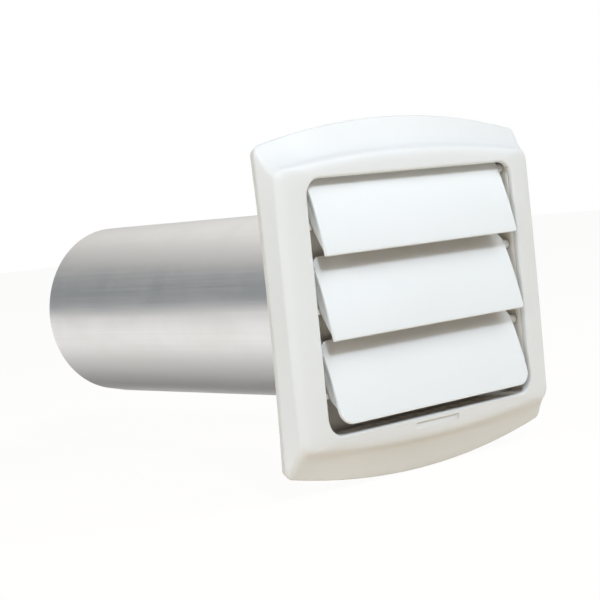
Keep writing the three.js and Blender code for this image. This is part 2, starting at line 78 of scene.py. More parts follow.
LOUVRES = ["top_louvre", "middle_louvre", "bottom_louvre"]
END_SPARE, LOUVRE_SIDE_GAP, SLAT_OVERLAP = 1.4, 5, 0.1
LOUVRE_PITCH = (OPENING["height"] - END_SPARE) / len(LOUVRES)
LOUVRE_HALF = OPENING["width"] / 2 - LOUVRE_SIDE_GAP
LEAN = math.radians(16.5)
PIVOT_DEPTH, PIVOT_DROP, PIVOT_TO_FRONT = 9, 3.2, 2.4
SLAT_TAIL, SLAT_THICK, SLAT_BULGE = 6.5, 1.8, 1.0
SLAT_TOP_CORNER, SLAT_CORNER = 6, 8
SLAT_DROP = LOUVRE_PITCH / math.cos(LEAN) - SLAT_TAIL - SLAT_OVERLAP
CHEEK_WALL, CHEEK_INSET, CHEEK_BACK_TOP, CHEEK_BACK_LOW = 1.8, 0.5, 3.2, 1.8
CHEEK_FULL = 23  # below this the cheek tapers out towards the slat's lower edge
CHEEK_END_SHORT = 1.5  # the cheek stops this far above the slat's lower edge
PIN_RADIUS, SHOULDER_RADIUS = 2, 2.6
CARRIER_WALL = 2

PIPE_RADIUS = 50.8
PIPE_WALL = 0.5
PIPE_START, PIPE_END = 2.7, 254
PIPE_BURR = 0.12  # the cut edge is that much rounded back
SEAM_RISE = 1.6  # peak of the sheet at the lock seam
SEAM_WIDTH, SEAM_THICK, SEAM_ROOT = 8.5, 0.55, 0.2  # the root lies inside the sheet
SEAM_FROM, SEAM_SHORT = 26, 0.6  # the seam starts behind the collar and stops short of the end


# ---------------------------------------------------------------- outlines and lofts
def outline(size, across=44, beside=36, round_steps=9):
    """Rounded rectangle in X and Z whose ends arch out and whose sides draw in."""
    w, h, corner = size["width"] / 2, size["height"] / 2, size["corner"]
    points = []
    corners = [(1, 1), (-1, 1), (-1, -1), (1, -1)]
    for i, (sx, sz) in enumerate(corners):
        for k in range(round_steps + 1):
            a = math.radians(90 * i + 90 * k / round_steps)
            points.append(
                (sx * (w - corner) + corner * math.cos(a), sz * (h - corner) + corner * math.sin(a))
            )
        nx, nz = corners[(i + 1) % 4]
        b = math.radians(90 * (i + 1))
        end = np.array(
            [nx * (w - corner) + corner * math.cos(b), nz * (h - corner) + corner * math.sin(b)]
        )
        steps = beside if i % 2 else across
        last = np.array(points[-1])
        points += [tuple(last + (end - last) * k / steps) for k in range(1, steps)]
    x, z = np.array(points).T
    u, v = x / w, z / h
    x = x - np.sign(x) * size.get("waist", 0) * (1 - v**2) * np.abs(u)
    z = z + np.sign(z) * size.get("arch", 0) * (1 - u**2) * np.abs(v)
    return np.stack([x, z], 1)


def grown(size, by):
    return {
        **size,
        "width": size["width"] + 2 * by,
        "height": size["height"] + 2 * by,
        "corner": max(size["corner"] + by, 0.8),
    }


def between(a, b, t):
    keys = ("width", "height", "arch", "waist", "corner")
    return {key: a.get(key, 0) + (b.get(key, 0) - a.get(key, 0)) * t for key in keys}


def at_depth(points, depth, lift=HOOD_LIFT):
    """An outline placed that far in front of the wall, as 3-D points."""
    return np.stack([points[:, 0], np.full(len(points), -depth), points[:, 1] + lift], 1)


def softened(rings, radii, bends=5):
    """Turns each corner of a looped profile into a curve that starts that far from the corner."""
    soft = []
    for k, radius in enumerate(radii):
        here, ends = rings[k], []
        if not radius:
            soft.append(here)
            continue
        for other in (rings[k - 1], rings[(k + 1) % len(rings)]):
            gap = np.maximum(np.linalg.norm(other - here, axis=1, keepdims=True), 1e-9)
            ends.append(here + (other - here) * np.minimum(0.48, radius / gap))
        for t in np.linspace(0, 1, bends + 1):
            soft.append((1 - t) ** 2 * ends[0] + 2 * t * (1 - t) * here + t * t * ends[1])
    return soft


class Shell:
    """Collects closed bodies in millimetres and becomes one mesh object in metres."""

    def __init__(self):
        self.points, self.faces = [], []

    def add(self, points, faces):
        base = len(self.points)
        self.points += [tuple(p) for p in points]
        self.faces += [[base + i for i in face] for face in faces]

    def ring_loft(self, rings):
        """Joins rings of equal count into a closed tube-like body."""
        count, total = len(rings[0]), len(rings)
        faces = []
        for k in range(total):
            here, after = k * count, (k + 1) % total * count
            for i in range(count):
                j = (i + 1) % count
                faces.append((here + i, here + j, after + j, after + i))
        self.add(np.concatenate(rings), faces)

    def turned(self, profile, axis, origin, sides=40):
        """A turned body from [radius, along] points, about an axis through an origin."""
        axis = Vector(axis).normalized()
        side = axis.orthogonal().normalized()
        up = axis.cross(side)
        points, faces = [], []
        for radius, along in profile:
            for k in range(sides):
                a = 2 * math.pi * k / sides
                points.append(
                    Vector(origin) + axis * along + (side * math.cos(a) + up * math.sin(a)) * radius
                )
        for row in range(len(profile) - 1):
            for k in range(sides):
                j = (k + 1) % sides
                a, b = row * sides, (row + 1) * sides
                faces.append((a + k, a + j, b + j, b + k))
        faces.append(tuple(range(sides))[::-1])
        last = (len(profile) - 1) * sides
        faces.append(tuple(last + k for k in range(sides)))
        self.add(points, faces)

    def prism(self, points, low, high):
        """A section in Y and Z made solid between two X positions."""
        n = len(points)
        body = [(x, y, z) for x in (low, high) for y, z in points]
        faces = [tuple(range(n)), tuple(range(2 * n - 1, n - 1, -1))]
        faces += [(i, i + n, (i + 1) % n + n, (i + 1) % n) for i in range(n)]
        self.add(body, faces)

    def block(self, low, high):
        (x0, y0, z0), (x1, y1, z1) = low, high
        self.prism([(y0, z0), (y1, z0), (y1, z1), (y0, z1)], x0, x1)

    def piece(self, name):
        mesh = bpy.data.meshes.new(name)
        mesh.from_pydata([Vector(p) * MM for p in self.points], [], self.faces)
        obj = bpy.data.objects.new(name, mesh)
        bpy.context.scene.collection.objects.link(obj)
        tidy_mesh(obj)
        return obj


def tidy_mesh(obj, merge=1e-6):
    body = bmesh.new()
    body.from_mesh(obj.data)
    bmesh.ops.remove_doubles(body, verts=body.verts, dist=merge)
    bmesh.ops.recalc_face_normals(body, faces=body.faces)
    body.to_mesh(obj.data)
    body.free()


def smooth(obj, sharp_from=32):
    obj.data.polygons.foreach_set("use_smooth", [True] * len(obj.data.polygons))
    obj.data.set_sharp_from_angle(angle=math.radians(sharp_from))


def apply_modifiers(obj):
    bpy.context.view_layer.update()
    made = bpy.data.meshes.new_from_object(obj.evaluated_get(bpy.context.evaluated_depsgraph_get()))
    obj.modifiers.clear()
    obj.data = made


def eased_edges(obj, width, turns=2, from_angle=38):
    """Rounds every edge sharper than an angle, as a mould or a deburring pass leaves it."""
    ease = obj.modifiers.new("eased", "BEVEL")
    ease.width, ease.segments = width * MM, turns
    ease.limit_method, ease.angle_limit = "ANGLE", math.radians(from_angle)
    ease.use_clamp_overlap = False
    ease.harden_normals = False
    apply_modifiers(obj)


def carve(obj, cutter):
    cut = obj.modifiers.new("cut", "BOOLEAN")
    cut.operation, cut.solver, cut.object = "DIFFERENCE", "EXACT", cutter
    apply_modifiers(obj)
    bpy.data.objects.remove(cutter)


def finer_copy(node, name, ease):
    """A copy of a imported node's shape with its facets merged and its edges eased."""
    obj = bpy.data.objects.new(name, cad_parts[node].data.copy())
    bpy.context.scene.collection.objects.link(obj)
    body = bmesh.new()
    body.from_mesh(obj.data)
    bmesh.ops.remove_doubles(body, verts=body.verts, dist=2e-6)
    bmesh.ops.dissolve_limit(
        body, angle_limit=math.radians(0.4), verts=body.verts, edges=body.edges
    )
    bmesh.ops.recalc_face_normals(body, faces=body.faces)
    body.to_mesh(obj.data)
    body.free()
    if ease:
        eased_edges(obj, ease)
    smooth(obj)
    return obj


# ---------------------------------------------------------------- cover
def arch_at(size, x):
    return size["height"] / 2 + size["arch"] * (1 - (x / (size["width"] / 2)) ** 2)


def cover_profile():
    wide, lip = grown(OPENING, LEAD_IN), grown(OPENING, COVER_WALL)
    inner_face, inner_rim = grown(FACE, -COVER_WALL), grown(RIM, -COVER_WALL)
    # outline, depth in front of the wall, how far the curve round the corner reaches
    return [
        (RIM, COVER_BACK, 0.25),
        (RIM, COVER_BACK + RIM_LAND, 1.0),
        (between(RIM, FACE, 0.5), (COVER_BACK + BEVEL_DEPTH) / 2 + 0.1, 9),
        (between(RIM, FACE, 0.9), BEVEL_DEPTH - 0.9, 9),
        (FACE, BEVEL_DEPTH + FRONT_RISE * 0.12, 9),
        (between(FACE, wide, 0.08), BEVEL_DEPTH + FRONT_RISE * 0.42, 9),
        (between(FACE, wide, 0.22), BEVEL_DEPTH + FRONT_RISE * 0.68, 9),
        (between(FACE, wide, 0.5), BEVEL_DEPTH + FRONT_RISE * 0.87, 9),
        (wide, FRONT_DEPTH, 0.7),
        (grown(OPENING, LEAD_IN * 0.3), FRONT_DEPTH - LEAD_IN * 0.3, 0.7),
        (OPENING, FRONT_DEPTH - LEAD_IN, 0.7),
        (OPENING, FRONT_DEPTH - LIP_DEPTH, 0.3),
        (lip, FRONT_DEPTH - LIP_DEPTH, 0.3),
        (lip, FRONT_DEPTH - COVER_WALL, 0.3),
        (between(inner_face, lip, 0.35), FRONT_DEPTH - COVER_WALL - FRONT_RISE * 0.2, 4),
        (inner_face, BEVEL_DEPTH - COVER_WALL, 4),
        (inner_rim, COVER_BACK + RIM_LAND, 1),
        (inner_rim, COVER_BACK, 0.25),
    ]


def label_cutter():
    """A shallow blank recess under the opening, with rounded ends."""
    top = HOOD_LIFT - OPENING["height"] / 2 - LABEL["drop"]
    middle = top - LABEL["height"] / 2
    floor = FRONT_DEPTH - FRONT_RISE * 0.1 - LABEL["sink"]
    plan = outline({"width": LABEL["width"], "height": LABEL["height"], "corner": 0.7}, 2, 2, 5)
    rings = [at_depth(plan, depth, middle) for depth in (floor, FRONT_DEPTH + 2)]
    cutter = Shell()
    n = len(plan)
    faces = [(i, (i + 1) % n, (i + 1) % n + n, i + n) for i in range(n)]
    faces += [tuple(range(n)), tuple(range(2 * n - 1, n - 1, -1))]
    cutter.add(np.concatenate(rings), faces)
    return cutter.piece("label_cutter")


def cover_piece():
    profile = cover_profile()
    rings = [at_depth(outline(size), depth) for size, depth, _ in profile]
    shell = Shell()
    shell.ring_loft(softened(rings, [reach for _, _, reach in profile]))
    obj = shell.piece("cover")
    carve(obj, label_cutter())
    fittings = Shell()
    land = COVER_BACK + RIM_LAND
    rib_share = (TAB_REACH - land) / (BEVEL_DEPTH - COVER_WALL - land)
    rib = grown(between(grown(RIM, -COVER_WALL), grown(FACE, -COVER_WALL), rib_share), -1)
    for sx in (-1, 1):
        for sz in (-1, 1):
            x = sx * TAB_OFFSET
            ends = sorted((sz * (arch_at(rib, x) - TAB_BITE), sz * (arch_at(RIM, x) - 2 * COVER_WALL)))
            fittings.block(
                (x - TAB_WIDTH / 2, -TAB_DEPTH - TAB_THICK / 2, HOOD_LIFT + ends[0]),
                (x + TAB_WIDTH / 2, -TAB_DEPTH + TAB_THICK / 2, HOOD_LIFT + ends[1]),
            )
            boss = [
                (BOSS_HOLE, BOSS_BOTTOM),
                (BOSS_HOLE, BOSS_FOOT),
                (BOSS_RADIUS, BOSS_FOOT),
                (BOSS_RADIUS, BOSS_TOP),
            ]
            fittings.turned(boss, (0, -1, 0), (sx * BOSS_X, 0, HOOD_LIFT + sz * BOSS_Z), 28)
    inside = fittings.piece("cover_fittings")
    eased_edges(inside, 0.25)
    obj = joined([obj, inside], "cover")
    smooth(obj)
    return obj


def joined(pieces, name):
    body = bmesh.new()
    for piece in pieces:
        body.from_mesh(piece.data)
        bpy.data.objects.remove(piece)
    mesh = bpy.data.meshes.new(name)
    body.to_mesh(mesh)
    body.free()
    obj = bpy.data.objects.new(name, mesh)
    bpy.context.scene.collection.objects.link(obj)
    return obj


# ---------------------------------------------------------------- louvres
def pivot_height(row):
    return HOOD_LIFT + OPENING["height"] / 2 - PIVOT_DROP - row * LOUVRE_PITCH


def louvre_point(along, out, pivot):
    """A point of a closed louvre's section: along runs down the slat, out towards the front."""
    return (
        -PIVOT_DEPTH - along * math.sin(LEAN) - out * math.cos(LEAN),
        pivot - along * math.cos(LEAN) + out * math.sin(LEAN),
    )


def slat_front(along):
    middle, half = (SLAT_DROP - SLAT_TAIL) / 2, (SLAT_DROP + SLAT_TAIL) / 2
    return PIVOT_TO_FRONT + SLAT_BULGE * (1 - ((along - middle) / half) ** 2)


def slat_columns(corner):
    """X positions across a slat, closer together round its corners."""
    straight = LOUVRE_HALF - corner
    inner = list(np.linspace(0, straight, 26))
    inner += [straight + corner * math.sin(math.pi / 2 * k / 12) for k in range(1, 13)]
    return [-x for x in inner[:0:-1]] + inner


def corner_lift(x, corner):
    """How far a rounded corner pulls the slat's edge in at X."""
    past = max(abs(x) - (LOUVRE_HALF - corner), 0)
    return corner - math.sqrt(max(corner**2 - past**2, 0))


def slat(shell, pivot, corner, rows=20):
    columns = slat_columns(max(corner, SLAT_TOP_CORNER))
    front, back = [], []
    for x in columns:
        top = -SLAT_TAIL + corner_lift(x, SLAT_TOP_CORNER)
        low = SLAT_DROP - corner_lift(x, corner)
        for k in range(rows + 1):
            along = top + (low - top) * k / rows
            for side, out in ((front, slat_front(along)), (back, slat_front(along) - SLAT_THICK)):
                side.append((x, *louvre_point(along, out, pivot)))
    n, per = len(front), rows + 1
    faces = []
    for i in range(len(columns) - 1):
        for k in range(rows):
            a, b = i * per + k, (i + 1) * per + k
            faces.append((a, a + 1, b + 1, b))
            faces.append((n + a, n + b, n + b + 1, n + a + 1))
        for k in (0, rows):
            a, b = i * per + k, (i + 1) * per + k
            faces.append((a, b, n + b, n + a))
    for i in (0, len(columns) - 1):
        for k in range(rows):
            a = i * per + k
            faces.append((a, a + 1, n + a + 1, n + a))
    shell.add(front + back, faces)


def cheek_section(pivot, low):
    steps = 16
    points = []
    for k in range(steps + 1):
        along = -SHOULDER_RADIUS + (low + SHOULDER_RADIUS) * k / steps
        points.append(louvre_point(along, slat_front(along) - SLAT_THICK / 2, pivot))
    points.append(louvre_point(low, slat_front(low) - SLAT_THICK, pivot))
    share = (CHEEK_FULL - SHOULDER_RADIUS) / (low - SHOULDER_RADIUS)
    back = CHEEK_BACK_TOP + (CHEEK_BACK_LOW - CHEEK_BACK_TOP) * share
    points.append(louvre_point(CHEEK_FULL, -back, pivot))
    points.append(louvre_point(SHOULDER_RADIUS, -CHEEK_BACK_TOP, pivot))
    points.append(louvre_point(-SHOULDER_RADIUS, -CHEEK_BACK_TOP, pivot))
    return points


def louvre_piece(row):
    pivot = pivot_height(row)
    corner = SLAT_CORNER if row == len(LOUVRES) - 1 else 0
    shell = Shell()
    slat(shell, pivot, corner)
    low = SLAT_DROP - max(corner, CHEEK_END_SHORT)
    wall = OPENING["width"] / 2
    cheek_end = LOUVRE_HALF - CHEEK_INSET
    pin = [
        (SHOULDER_RADIUS, cheek_end - CHEEK_WALL / 2),
        (SHOULDER_RADIUS, wall - FIT),
        (PIN_RADIUS, wall - FIT),
        (PIN_RADIUS, wall + CARRIER_WALL - FIT),
    ]
    for side in (-1, 1):
        ends = sorted((side * cheek_end, side * (cheek_end - CHEEK_WALL)))
        shell.prism(cheek_section(pivot, low), *ends)
        shell.turned(pin, (side, 0, 0), (0, -PIVOT_DEPTH, pivot), 32)
    obj = shell.piece(LOUVRES[row].replace("_louvre", "_flap"))
    eased_edges(obj, 0.35, 3)
    smooth(obj)
    return obj


# ---------------------------------------------------------------- tail pipe
def sheet_radius(angle, radius):
    """Radius of the rolled sheet: round, with a straight run up to the peak at the seam."""
    half = math.acos(radius / (radius + SEAM_RISE))
    from_seam = abs((angle + math.pi / 2 + math.pi) % (2 * math.pi) - math.pi)
    return radius / math.cos(half - from_seam) if from_seam < half else radius


def sheet_wave(angle, along):
    """Slow hollows and flats that rolling leaves along the sheet."""
    place = Vector((2.1 * math.cos(angle), along * 0.006, 2.1 * math.sin(angle)))
    fine = Vector((6 * math.cos(angle), along * 0.011 + 7, 6 * math.sin(angle)))
    return 0.16 * noise.noise(place) + 0.05 * noise.noise(fine)


def pipe_ring(along, radius, sides=300):
    ring = []
    for k in range(sides):
        a = -math.pi / 2 + 2 * math.pi * k / sides
        calm = min(1, (PIPE_END - along) / 30 + 0.35)
        r = sheet_radius(a, radius) + calm * sheet_wave(a, along)
        ring.append((r * math.cos(a), along, r * math.sin(a)))
    return np.array(ring)


def lock_seam(shell):
    """The folded strip that lies beside the peak, under the pipe."""
    rings = []
    for along in np.linspace(PIPE_START + SEAM_FROM, PIPE_END - SEAM_SHORT, 30):
        ring = []
        steps = 10
        for out in (SEAM_THICK, -SEAM_ROOT):
            for k in range(steps + 1):
                share = k / steps if out > 0 else 1 - k / steps
                a = -math.pi / 2 + 0.01 + share * SEAM_WIDTH / PIPE_RADIUS
                end = min(1, 6 * min(share, 1 - share) + 0.25) if out > 0 else 1
                r = sheet_radius(a, PIPE_RADIUS) + out * end
                ring.append((r * math.cos(a), along, r * math.sin(a)))
        rings.append(np.array(ring))
    n = len(rings[0])
    faces = [
        (k * n + i, k * n + (i + 1) % n, (k + 1) * n + (i + 1) % n, (k + 1) * n + i)
        for k in range(len(rings) - 1)
        for i in range(n)
    ]
    faces += [tuple(range(n)), tuple((len(rings) - 1) * n + i for i in range(n))]
    shell.add(np.concatenate(rings), faces)


def pipe_piece():
    rows = list(np.linspace(PIPE_START, PIPE_END, 70))
    outer = [pipe_ring(y, PIPE_RADIUS) for y in rows]
    inner = [pipe_ring(y, PIPE_RADIUS - PIPE_WALL) for y in reversed(rows)]
    outer[-1][:, 1] -= PIPE_BURR
    inner[0][:, 1] -= PIPE_BURR
    lip = pipe_ring(PIPE_END, PIPE_RADIUS - PIPE_WALL / 2)
    shell = Shell()
    shell.ring_loft(outer + [lip] + inner)
    lock_seam(shell)
    obj = shell.piece("pipe_sheet")
    smooth(obj, 40)
    return obj


# ---------------------------------------------------------------- node tools
def wire(tree, kind, values=None, **settings):
    """Adds a node, sets its options, and fills or links its inputs by name or number."""
    node = tree.nodes.new(kind)
    for key, value in settings.items():
        setattr(node, key, value)
    for key, value in (values or {}).items():
        if isinstance(value, bpy.types.NodeSocket):
            tree.links.new(value, node.inputs[key])
        else:
            node.inputs[key].default_value = value
    return node


def maths(tree, operation, a, b=0.0, clamp=False):
    return wire(tree, "ShaderNodeMath", {0: a, 1: b}, operation=operation, use_clamp=clamp).outputs[0]


def between_values(tree, value, low, high, to_low=0.0, to_high=1.0):
    node = wire(tree, "ShaderNodeMapRange", {0: value, 1: low, 2: high, 3: to_low, 4: to_high})
    return node.outputs[0]


def blended(tree, share, a, b):
    node = wire(tree, "ShaderNodeMix", {0: share, 6: a, 7: b}, data_type="RGBA")
    return node.outputs[2]


def new_group(name, inputs, outputs):
    tree = bpy.data.node_groups.new(name, "ShaderNodeTree")
    for label, kind, value in inputs:
        socket = tree.interface.new_socket(label, in_out="INPUT", socket_type=kind)
        socket.default_value = value
    for label, kind in outputs:
        tree.interface.new_socket(label, in_out="OUTPUT", socket_type=kind)
    start = tree.nodes.new("NodeGroupInput")
    end = tree.nodes.new("NodeGroupOutput")
    return tree, start.outputs, end.inputs


def placed(tree, group, values):
    node = tree.nodes.new("ShaderNodeGroup")
    node.node_tree = group
    for key, value in values.items():
        if isinstance(value, bpy.types.NodeSocket):
            tree.links.new(value, node.inputs[key])
        else:
            node.inputs[key].default_value = value
    return node.outputs


NUMBER = "NodeSocketFloat"


def moulded_skin_group():
    """Fine mould texture, slow tone drift and gloss drift of injection-moulded plastic."""
    tree, given, out = new_group(
        "moulded_skin",
        [("Grain Size", NUMBER, 1.0), ("Drift Size", NUMBER, 60.0)],
        [("Height", NUMBER), ("Tone", NUMBER), ("Gloss", NUMBER)],
    )
    place = wire(tree, "ShaderNodeTexCoord").outputs["Object"]
    fine = maths(tree, "DIVIDE", 1000.0, given["Grain Size"])
    slow = maths(tree, "DIVIDE", 1000.0, given["Drift Size"])
    grain = wire(tree, "ShaderNodeTexNoise", {"Vector": place, "Scale": fine, "Detail": 3.0})
    tone = wire(tree, "ShaderNodeTexNoise", {"Vector": place, "Scale": slow, "Detail": 4.0})
    finer = maths(tree, "MULTIPLY", slow, 4.0)
    gloss = wire(tree, "ShaderNodeTexNoise", {"Vector": place, "Scale": finer, "Detail": 5.0})
    tree.links.new(grain.outputs[0], out["Height"])
    tree.links.new(tone.outputs[0], out["Tone"])
    tree.links.new(gloss.outputs[0], out["Gloss"])
    return tree


def edge_and_crevice_group():
    """Masks of the ridges that handling polishes, of the hollows, and of dust settled on upward faces.
    """
    tree, given, out = new_group(
        "edge_and_crevice",
        [("Patchiness", NUMBER, 0.6)],
        [("Edge", NUMBER), ("Crevice", NUMBER), ("Settled", NUMBER)],
    )
    shape = wire(tree, "ShaderNodeNewGeometry")
    bend = shape.outputs["Pointiness"]
    place = wire(tree, "ShaderNodeTexCoord").outputs["Object"]
    patch = wire(tree, "ShaderNodeTexNoise", {"Vector": place, "Scale": 70.0, "Detail": 6.0}).outputs[0]
    patch = between_values(tree, patch, 0.3, 0.7)
    keep = maths(tree, "SUBTRACT", 1.0, given["Patchiness"])
    patch = maths(tree, "ADD", maths(tree, "MULTIPLY", patch, given["Patchiness"]), keep)
    edge = maths(tree, "MULTIPLY", between_values(tree, bend, 0.52, 0.62), patch)
    hollow = maths(tree, "MULTIPLY", between_values(tree, bend, 0.49, 0.42), patch)
    facing = wire(tree, "ShaderNodeSeparateXYZ", {0: shape.outputs["Normal"]}).outputs[2]
    settled = maths(tree, "MULTIPLY", between_values(tree, facing, 0.35, 0.95), patch)
    tree.links.new(edge, out["Edge"])
    tree.links.new(hollow, out["Crevice"])
    tree.links.new(settled, out["Settled"])
    return tree


def metal_skin_group():
    """Rolling lines, soft blotches and fine scuffs of bare sheet metal, along Y."""
    tree, given, out = new_group(
        "metal_skin",
        [("Line Width", NUMBER, 1.0), ("Line Length", NUMBER, 90.0), ("Blotch Size", NUMBER, 25.0)],
        [("Lines", NUMBER), ("Blotch", NUMBER), ("Scuff", NUMBER)],
    )
    place = wire(tree, "ShaderNodeTexCoord").outputs["Object"]
    across = maths(tree, "DIVIDE", 1000.0, given["Line Width"])
    along = maths(tree, "DIVIDE", 1000.0, given["Line Length"])
    stretch = wire(tree, "ShaderNodeCombineXYZ", {0: across, 1: along, 2: across}).outputs[0]
    pulled = wire(tree, "ShaderNodeVectorMath", {0: place, 1: stretch}, operation="MULTIPLY").outputs[0]
    rolled = {"Vector": pulled, "Scale": 1.0, "Detail": 5.0, "Roughness": 0.6}
    lines = wire(tree, "ShaderNodeTexNoise", rolled)
    size = maths(tree, "DIVIDE", 1000.0, given["Blotch Size"])
    film = {"Vector": place, "Scale": size, "Detail": 6.0, "Distortion": 0.6}
    blotch = wire(tree, "ShaderNodeTexNoise", film)
    askew = {"Vector": place, "Rotation": (0.9, 0.2, 0.4), "Scale": (60, 900, 60)}
    slant = wire(tree, "ShaderNodeMapping", askew)
    scuff = wire(tree, "ShaderNodeTexNoise", {"Vector": slant.outputs[0], "Scale": 1.0, "Detail": 2.0})
    tree.links.new(lines.outputs[0], out["Lines"])
    tree.links.new(blotch.outputs[0], out["Blotch"])
    tree.links.new(between_values(tree, scuff.outputs[0], 0.66, 0.78), out["Scuff"])
    return tree


MOULDED = moulded_skin_group()
EDGES = edge_and_crevice_group()
METAL = metal_skin_group()


GRAIN_SIZE, GRAIN_DEPTH = 0.8, 0.012  # of the moulded skin
# Painted shade: a warm dark brown laid on faces that sit in shade, so their shadows come out darker and
# warmer.
PAINTED_SHADE_BROWN = (0.25, 0.165, 0.09, 1)
PAINTED_SHADE_SHARE = 0.9  # how far the painted shade pulls a masked face towards that brown
HOLLOW_BROWN = (0.33, 0.28, 0.22, 1)
SETTLED_DUST = (0.5, 0.47, 0.42, 1)


def new_material(name):
    material = bpy.data.materials.new(name)
    material.use_nodes = True
    tree = material.node_tree
    shader = tree.nodes["Principled BSDF"]
    return material, tree, shader


def bump(tree, shader, height, depth):
    node = wire(tree, "ShaderNodeBump", {"Height": height, "Strength": 1.0, "Distance": depth * MM})
    tree.links.new(node.outputs[0], shader.inputs["Normal"])


def rear_faces_painted_shade(tree):
    """What faces back, towards the wall: the mask that puts painted shade on the louvres' rear faces,
    which darkens and warms the shadow bands under the louvres.
    """
    turn = wire(tree, "ShaderNodeTexCoord").outputs["Normal"]
    return between_values(tree, wire(tree, "ShaderNodeSeparateXYZ", {0: turn}).outputs[1], 0.2, 0.6)


def undersides_painted_shade(tree):
    """Faces that look down inside the opening's outline, centred on the pipe: stops and recess.

    This mask puts painted shade on those faces, which hang in shade inside the opening. The hood is
    lifted above that centre, so the top face of the opening itself gets none.
    """
    spot = wire(tree, "ShaderNodeTexCoord").outputs
    down = wire(tree, "ShaderNodeSeparateXYZ", {0: spot["Normal"]}).outputs[2]
    across, _, up = wire(tree, "ShaderNodeSeparateXYZ", {0: spot["Object"]}).outputs
    inside = []
    for value, size in ((across, OPENING["width"]), (up, OPENING["height"])):
        far = maths(tree, "ABSOLUTE", value)
        inside.append(maths(tree, "LESS_THAN", far, (size / 2 + LEAD_IN) * MM))
    opening = maths(tree, "MULTIPLY", *inside)
    return maths(tree, "MULTIPLY", opening, between_values(tree, down, -0.5, -0.85))


def moulded_plastic(name, colour, drift, roughness, hollows_and_dust, painted_shade=None):
    """White moulded plastic: colour with a slow drift, polished ridges, a darker brown in the hollows,
    dust on upward faces, and painted shade on the faces that an optional mask picks.
    """
    material, tree, shader = new_material(name)
    skin = placed(tree, MOULDED, {"Grain Size": GRAIN_SIZE, "Drift Size": 55.0})
    wear = placed(tree, EDGES, {"Patchiness": 0.7})
    body = blended(tree, between_values(tree, skin["Tone"], 0.3, 0.7), (*colour, 1), (*drift, 1))
    hollow_dark = maths(tree, "MULTIPLY", wear["Crevice"], hollows_and_dust)
    body = blended(tree, hollow_dark, body, HOLLOW_BROWN)
    settled = maths(tree, "MULTIPLY", wear["Settled"], hollows_and_dust * 0.12)
    body = blended(tree, settled, body, SETTLED_DUST)
    # painted shade: the faces that the mask picks are pulled towards that dark warm brown
    if painted_shade:
        body = blended(tree, maths(tree, "MULTIPLY", painted_shade(tree), PAINTED_SHADE_SHARE), body, PAINTED_SHADE_BROWN)
    tree.links.new(body, shader.inputs["Base Color"])
    rough = between_values(tree, skin["Gloss"], 0.25, 0.75, roughness - 0.05, roughness + 0.07)
    rough = maths(tree, "SUBTRACT", rough, maths(tree, "MULTIPLY", wear["Edge"], 0.08))
    rough = maths(tree, "ADD", rough, maths(tree, "MULTIPLY", hollow_dark, 0.5), clamp=True)
    tree.links.new(rough, shader.inputs["Roughness"])
    shader.inputs["Specular IOR Level"].default_value = 0.5
    bump(tree, shader, skin["Height"], GRAIN_DEPTH)
    return material


def bare_metal(name, colour, stain, roughness, lines, length, line_depth):
    """Bare metal with rolling lines, blotches of handling film and a few scuffs."""
    material, tree, shader = new_material(name)
    shader.inputs["Metallic"].default_value = 1.0
    skin = placed(tree, METAL, {"Line Width": lines, "Line Length": length, "Blotch Size": 28.0})
    film = between_values(tree, skin["Blotch"], 0.35, 0.75)
    body = blended(tree, maths(tree, "MULTIPLY", film, 0.5), (*colour, 1), (*stain, 1))
    streak = between_values(tree, skin["Lines"], 0.3, 0.7, 0.0, 0.14)
    body = blended(tree, streak, body, tuple(c * 0.8 for c in colour) + (1,))
    tree.links.new(body, shader.inputs["Base Color"])
    rough = between_values(tree, skin["Lines"], 0.3, 0.7, roughness - 0.04, roughness + 0.05)
    rough = maths(tree, "ADD", rough, maths(tree, "MULTIPLY", film, 0.07))
    rough = maths(tree, "ADD", rough, maths(tree, "MULTIPLY", skin["Scuff"], 0.1), clamp=True)
    tree.links.new(rough, shader.inputs["Roughness"])
    bump(tree, shader, skin["Lines"], line_depth)
    return material


# ---------------------------------------------------------------- build the pieces
COVER_WHITE = moulded_plastic(
    "cover_white", (0.765, 0.785, 0.782), (0.745, 0.762, 0.755), 0.40, 0.2, painted_shade=undersides_painted_shade
)
# The louvres' white is lighter and bluer than the cover's: in part painted light, standing for the
# brighter light on their upturned faces.
LOUVRE_WHITE = moulded_plastic(
    "louvre_white", (0.81, 0.845, 0.86), (0.79, 0.825, 0.835), 0.36, 0.2, painted_shade=rear_faces_painted_shade
)
# The carrier's warmer beige, against the cover's white, is painted shade: it stands for the warm shade
# inside the opening.
CARRIER_WHITE = moulded_plastic(
    "carrier_white", (0.82, 0.79, 0.73), (0.79, 0.755, 0.69), 0.48, 0.3, painted_shade=undersides_painted_shade
)
PLATE_WHITE = moulded_plastic("plate_white", (0.79, 0.80, 0.78), (0.76, 0.765, 0.74), 0.45, 0.35)
PIPE_METAL = bare_metal("pipe_metal", (0.83, 0.82, 0.81), (0.78, 0.76, 0.73), 0.33, 1.1, 120.0, 0.0025)
RIVET_METAL = bare_metal("rivet_metal", (0.72, 0.73, 0.74), (0.60, 0.60, 0.60), 0.28, 0.4, 2.0, 0.004)
SCREW_METAL = bare_metal("screw_metal", (0.56, 0.58, 0.62), (0.50, 0.50, 0.44), 0.26, 0.3, 1.5, 0.004)


def fit_in(obj, body, slot, material, *nodes):
    """Puts a finished piece on its body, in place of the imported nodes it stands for."""
    obj.data.materials.clear()
    obj.data.materials.append(material)
    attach(obj, body)
    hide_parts(*nodes)


